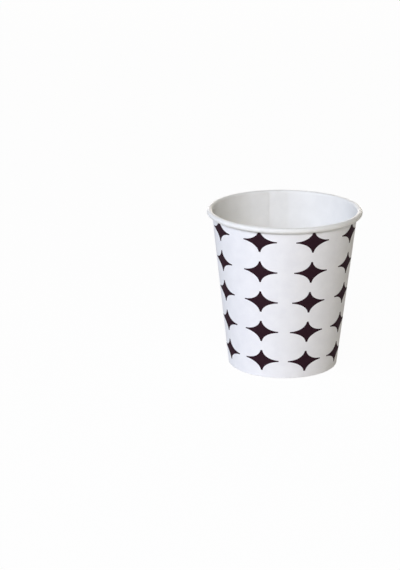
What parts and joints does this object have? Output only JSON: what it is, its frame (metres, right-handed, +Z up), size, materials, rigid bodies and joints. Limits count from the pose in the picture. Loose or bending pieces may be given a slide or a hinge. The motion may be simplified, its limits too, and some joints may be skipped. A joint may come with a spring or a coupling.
{
  "type": "paper cup",
  "caption": "Tapered disposable drinking cup of coated white paperboard with a rolled rim, lapped side seam, recessed sealed bottom and black star print.",
  "frame": {"origin": "centre of the foot ring, on the surface the cup stands on", "axes": "+Z up along the cup's axis, -Y towards the middle of the printed front, between two columns of stars"},
  "size_m": [0.08, 0.08, 0.0826],
  "materials": {
    "white_paperboard": "satin coated white board",
    "bottom_paperboard": "satin coated white board",
    "black_ink": "flat warm black print"
  },
  "bodies": {
    "root": {"sidewall": "white_paperboard", "bottom": "bottom_paperboard", "star_print": "black_ink"}
  },
  "joints": []
}
